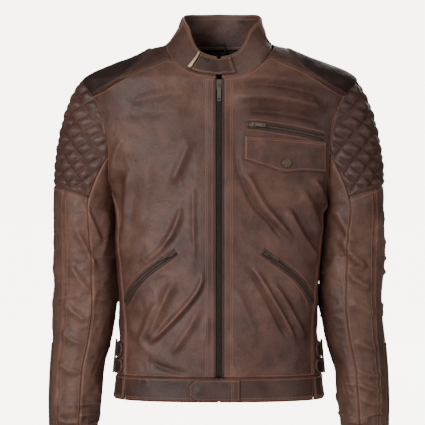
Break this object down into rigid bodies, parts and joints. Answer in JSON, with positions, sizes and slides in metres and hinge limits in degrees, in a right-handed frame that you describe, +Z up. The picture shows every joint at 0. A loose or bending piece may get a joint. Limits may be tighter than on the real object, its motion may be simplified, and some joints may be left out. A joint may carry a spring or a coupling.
{
  "type": "leather riding jacket",
  "caption": "Hip-length brown leather riding jacket with stand collar and strap, full front zip, quilted shoulders, zip pockets, flap pocket and waist adjusters.",
  "frame": {"origin": "middle of the bottom of the bounding box, level with the ends of the sleeves, 95.1 mm below the hem", "axes": "+Z up to the collar, -Y out of the chest, +X to the wearer's left"},
  "size_m": [0.6128, 0.2441, 0.7741],
  "materials": {
    "leather_brown": "satin",
    "leather_dark": "satin",
    "lining_cloth": "matte",
    "loop_cord": "matte",
    "armour_foam": "matte",
    "zip_tape": "matte",
    "zip_metal": "satin",
    "slider_metal": "satin",
    "snap_metal": "satin",
    "bar_metal": "satin",
    "buckle_metal": "satin"
  },
  "bodies": {
    "torso": {"back_panel": "leather_brown", "yoke_right": "leather_dark", "yoke_left": "leather_dark", "side_panel_right": "leather_brown", "side_panel_left": "leather_brown", "waistband_back": "leather_brown", "collar_back": "leather_brown", "lining_back": "lining_cloth", "hang_loop": "loop_cord", "back_protector": "armour_foam", "waist_straps": "leather_brown", "waist_buckles": "buckle_metal"},
    "front_right": {"front_panel_right": "leather_brown", "waistband_right": "leather_brown", "front_zip_tape_right": "zip_tape", "front_zip_teeth_right": "zip_metal", "collar_right": "leather_brown", "lining_right": "lining_cloth", "hand_zip_chain_right": "zip_metal", "snap_studs_right": "snap_metal"},
    "front_left": {"front_panel_left": "leather_brown", "waistband_left": "leather_brown", "front_zip_tape_left": "zip_tape", "front_zip_teeth_left": "zip_metal", "collar_left": "leather_brown", "lining_left": "lining_cloth", "hand_zip_chain_left": "zip_metal", "chest_zip_chain": "zip_metal", "flap_snap_stud": "snap_metal"},
    "arm_left": {"quilted_panel_left": "leather_dark", "sleeve_top_left": "leather_brown", "sleeve_under_left": "leather_brown"},
    "arm_right": {"quilted_panel_right": "leather_dark", "sleeve_top_right": "leather_brown", "sleeve_under_right": "leather_brown"},
    "forearm_left": {"forearm_top_left": "leather_brown", "forearm_under_left": "leather_brown", "elbow_armour_left": "armour_foam", "cuff_zip_chain_left": "zip_metal"},
    "forearm_right": {"forearm_top_right": "leather_brown", "forearm_under_right": "leather_brown", "elbow_armour_right": "armour_foam", "cuff_zip_chain_right": "zip_metal"},
    "front_zip_runner": {"front_zip_slider": "slider_metal"},
    "front_zip_tab": {"front_zip_pull": "slider_metal"},
    "hand_zip_runner_left": {"hand_zip_slider_left": "slider_metal"},
    "hand_zip_tab_left": {"hand_zip_pull_left": "slider_metal"},
    "hand_zip_runner_right": {"hand_zip_slider_right": "slider_metal"},
    "hand_zip_tab_right": {"hand_zip_pull_right": "slider_metal"},
    "chest_zip_runner": {"chest_zip_slider": "slider_metal"},
    "chest_zip_tab": {"chest_zip_pull": "slider_metal"},
    "cuff_zip_runner_left": {"cuff_zip_slider_left": "slider_metal"},
    "cuff_zip_tab_left": {"cuff_zip_pull_left": "slider_metal"},
    "cuff_zip_runner_right": {"cuff_zip_slider_right": "slider_metal"},
    "cuff_zip_tab_right": {"cuff_zip_pull_right": "slider_metal"},
    "flap": {"pocket_flap": "leather_brown", "flap_snap_cap": "snap_metal"},
    "neck_strap": {"collar_strap": "leather_brown", "collar_strap_bar": "bar_metal"},
    "hem_tab": {"waist_tab": "leather_brown"}
  },
  "joints": [
    {"name": "front_left_open", "type": "hinge", "parent": "torso", "child": "front_left", "pos_m": [0.196, -0.085, 0.3951], "axis": [0, 0, 1], "range_deg": [0, 32]},
    {"name": "front_right_open", "type": "hinge", "parent": "torso", "child": "front_right", "pos_m": [-0.196, -0.085, 0.3951], "axis": [0, 0, -1], "range_deg": [0, 32]},
    {"name": "front_zip_slide", "type": "slide", "parent": "front_left", "child": "front_zip_runner", "axis": [0, -0.045, -0.999], "range_m": [0, 0.48]},
    {"name": "front_zip_pull_lift", "type": "hinge", "parent": "front_zip_runner", "child": "front_zip_tab", "pos_m": [0, -0.0963, 0.64628], "axis": [-1, 0, 0], "range_deg": [0, 120]},
    {"name": "hand_zip_slide_left", "type": "hinge", "parent": "front_left", "child": "hand_zip_runner_left", "pos_m": [0.0001, 0.02346, 0.24188], "axis": [0.2536, 0.7201, 0.6459], "range_deg": [0, 37.5]},
    {"name": "hand_zip_pull_lift_left", "type": "hinge", "parent": "hand_zip_runner_left", "child": "hand_zip_tab_left", "pos_m": [0.08449, -0.10578, 0.35283], "axis": [-0.2536, -0.7201, -0.6459], "range_deg": [0, 120]},
    {"name": "cuff_zip_slide_left", "type": "slide", "parent": "forearm_left", "child": "cuff_zip_runner_left", "axis": [-0.0156, 0.0999, 0.9949], "range_m": [0, 0.1701]},
    {"name": "cuff_zip_pull_lift_left", "type": "hinge", "parent": "cuff_zip_runner_left", "child": "cuff_zip_tab_left", "pos_m": [0.30456, -0.03379, 0.01522], "axis": [0.3184, 0.9437, -0.0898], "range_deg": [0, 120]},
    {"name": "arm_raise_left", "type": "hinge", "parent": "torso", "child": "arm_left", "pos_m": [0.238, 0.005, 0.6461], "axis": [0, -1, 0], "range_deg": [0, 30]},
    {"name": "elbow_bend_left", "type": "hinge", "parent": "arm_left", "child": "forearm_left", "pos_m": [0.238, -0.013, 0.3101], "axis": [-1, 0, 0], "range_deg": [0, 35]},
    {"name": "hand_zip_slide_right", "type": "hinge", "parent": "front_right", "child": "hand_zip_runner_right", "pos_m": [-0.0001, 0.02346, 0.24188], "axis": [0.2536, -0.7201, -0.6459], "range_deg": [0, 37.5]},
    {"name": "hand_zip_pull_lift_right", "type": "hinge", "parent": "hand_zip_runner_right", "child": "hand_zip_tab_right", "pos_m": [-0.08449, -0.10578, 0.35283], "axis": [-0.2536, 0.7201, 0.6459], "range_deg": [0, 120]},
    {"name": "cuff_zip_slide_right", "type": "slide", "parent": "forearm_right", "child": "cuff_zip_runner_right", "axis": [0.0156, 0.0999, 0.9949], "range_m": [0, 0.1701]},
    {"name": "cuff_zip_pull_lift_right", "type": "hinge", "parent": "cuff_zip_runner_right", "child": "cuff_zip_tab_right", "pos_m": [-0.30456, -0.03379, 0.01522], "axis": [0.3184, -0.9437, 0.0898], "range_deg": [0, 120]},
    {"name": "arm_raise_right", "type": "hinge", "parent": "torso", "child": "arm_right", "pos_m": [-0.238, 0.005, 0.6461], "axis": [0, 1, 0], "range_deg": [0, 30]},
    {"name": "elbow_bend_right", "type": "hinge", "parent": "arm_right", "child": "forearm_right", "pos_m": [-0.238, -0.013, 0.3101], "axis": [-1, 0, 0], "range_deg": [0, 35]},
    {"name": "chest_zip_slide", "type": "hinge", "parent": "front_left", "child": "chest_zip_runner", "pos_m": [0.04263, 0.20149, 0.47681], "axis": [0.0938, 0.3165, 0.9439], "range_deg": [0, 22.25]},
    {"name": "chest_zip_pull_lift", "type": "hinge", "parent": "chest_zip_runner", "child": "chest_zip_tab", "pos_m": [0.05831, -0.10069, 0.57659], "axis": [-0.0938, -0.3165, -0.9439], "range_deg": [0, 120]},
    {"name": "pocket_flap_lift", "type": "hinge", "parent": "front_left", "child": "flap", "pos_m": [0.0463, -0.10859, 0.5571], "axis": [-0.9722, -0.2232, 0.0705], "range_deg": [0, 70]},
    {"name": "neck_strap_open", "type": "hinge", "parent": "front_left", "child": "neck_strap", "pos_m": [0.02996, -0.09027, 0.66774], "axis": [-0.2646, 0.4978, 0.826], "range_deg": [0, 100]},
    {"name": "waist_tab_open", "type": "hinge", "parent": "front_left", "child": "hem_tab", "pos_m": [0.03648, -0.12023, 0.09829], "axis": [-0.0134, 0.045, 0.9989], "range_deg": [0, 100]}
  ],
  "couplings": [
    {"joint": "front_right_open", "follows": "front_left_open", "ratio": 1},
    {"joint": "front_zip_slide", "follows": "front_left_open", "m_per_rad": 0.85586}
  ]
}
